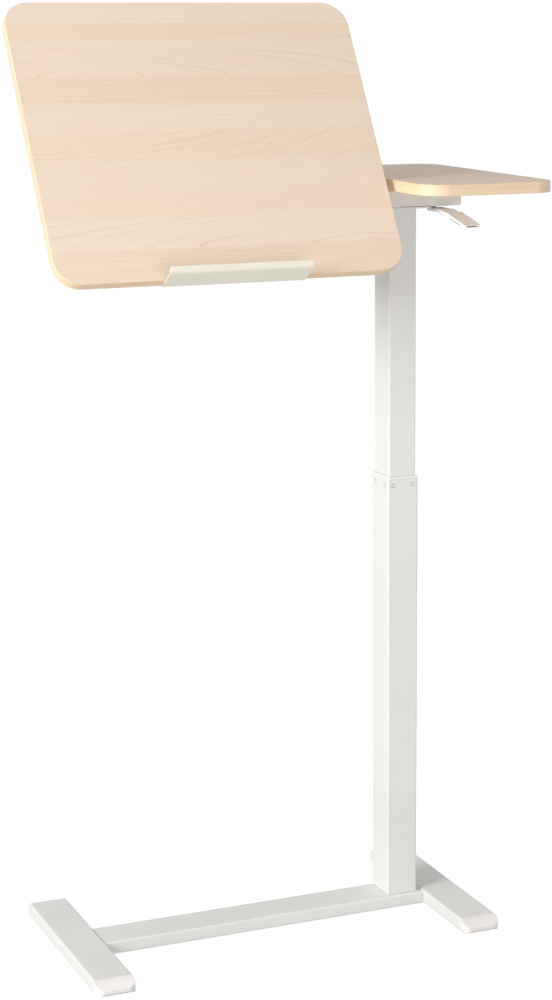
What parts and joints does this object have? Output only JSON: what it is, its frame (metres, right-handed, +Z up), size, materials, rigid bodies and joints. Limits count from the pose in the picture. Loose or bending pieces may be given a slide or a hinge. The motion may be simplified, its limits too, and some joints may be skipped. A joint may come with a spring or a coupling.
{
  "type": "overbed table",
  "caption": "Overbed table: low C-shaped foot frame, telescopic gas-spring column, release lever, fixed side leaf and a larger leaf that tilts up like a lectern with a page stop.",
  "frame": {"origin": "on the floor under the middle of the top's width and depth", "axes": "+Z up, the user sits on the -Y side, +X towards the fixed leaf and the column"},
  "size_m": [0.731, 0.428, 1.387],
  "materials": {
    "powder_coat": "satin powder coat, warm off-white",
    "cap_plastic": "fine matte moulding, off-white",
    "glide_plastic": "smooth acetal, off-white",
    "lever_plastic": "matte moulding, warm light grey",
    "zinc_steel": "zinc-plated steel",
    "rod_steel": "ground and polished rod",
    "spring_tube": "black lacquer",
    "pad_rubber": "matte dark rubber",
    "friction_plastic": "dark friction polymer",
    "maple_board": "light maple melamine face, satin",
    "maple_band": "maple edge banding, satin",
    "blade_coat": "satin powder coat, off-white"
  },
  "bodies": {
    "base": {"crossbar": "powder_coat", "bar_tongues": "zinc_steel", "base_bolts": "zinc_steel", "left_foot_tube": "powder_coat", "right_foot_tube": "powder_coat", "left_foot_front_cap": "cap_plastic", "left_foot_rear_cap": "cap_plastic", "right_foot_front_cap": "cap_plastic", "right_foot_rear_cap": "cap_plastic", "foot_pads": "pad_rubber", "outer_column": "powder_coat", "column_base_plate": "zinc_steel", "column_bolts": "zinc_steel", "spring_foot_nut": "zinc_steel", "upper_glide_bushing": "glide_plastic", "glide_buttons": "glide_plastic", "gas_spring_cylinder": "spring_tube", "gas_spring_rod_guide": "zinc_steel"},
    "lift": {"inner_column": "powder_coat", "lower_glide_bushing": "glide_plastic", "gas_spring_rod": "rod_steel", "gas_spring_piston": "friction_plastic", "rod_nuts": "zinc_steel", "column_saddle_plate": "powder_coat", "column_head_plate": "powder_coat", "top_frame": "powder_coat", "rail_end_caps": "cap_plastic", "fixed_leaf": "maple_board", "fixed_leaf_edge_band": "maple_band", "fixed_leaf_screws": "zinc_steel", "lever_bearing_left": "powder_coat", "lever_bearing_right": "powder_coat", "lever_bushes": "glide_plastic", "hinge_bracket_left": "powder_coat", "hinge_bracket_right": "powder_coat", "pivot_bolts": "zinc_steel", "pivot_nuts": "zinc_steel", "pivot_disc_springs": "spring_tube", "friction_washers": "friction_plastic"},
    "lever": {"lever_shaft": "zinc_steel", "lever_finger": "zinc_steel", "lever_arm": "powder_coat", "lever_grip": "lever_plastic", "grip_screws": "zinc_steel", "shaft_clips": "spring_tube"},
    "pin": {"release_pin": "rod_steel"},
    "tilt": {"hinge_leaf_left": "powder_coat", "hinge_leaf_right": "powder_coat", "hinge_leaf_screws": "zinc_steel", "tilting_leaf": "maple_board", "tilting_leaf_edge_band": "maple_band", "page_stop": "blade_coat", "page_stop_screws": "zinc_steel"}
  },
  "joints": [
    {"name": "column_lift", "type": "slide", "parent": "base", "child": "lift", "axis": [0, 0, 1], "range_m": [-0.385, 0.015]},
    {"name": "panel_tilt", "type": "hinge", "parent": "lift", "child": "tilt", "pos_m": [0, -0.088, 1.118], "axis": [1, 0, 0], "range_deg": [-58, 2]},
    {"name": "lever_squeeze", "type": "hinge", "parent": "lift", "child": "lever", "pos_m": [0.2065, -0.04, 1.115], "axis": [-1, 0, 0], "range_deg": [0, 4], "stiffness_Nm_per_rad": 3, "springref_deg": -6.88},
    {"name": "pin_press", "type": "slide", "parent": "lift", "child": "pin", "axis": [0, 0, -1], "range_m": [0, 0.0028]}
  ],
  "couplings": [
    {"joint": "pin_press", "follows": "lever_squeeze", "m_per_rad": 0.04}
  ]
}
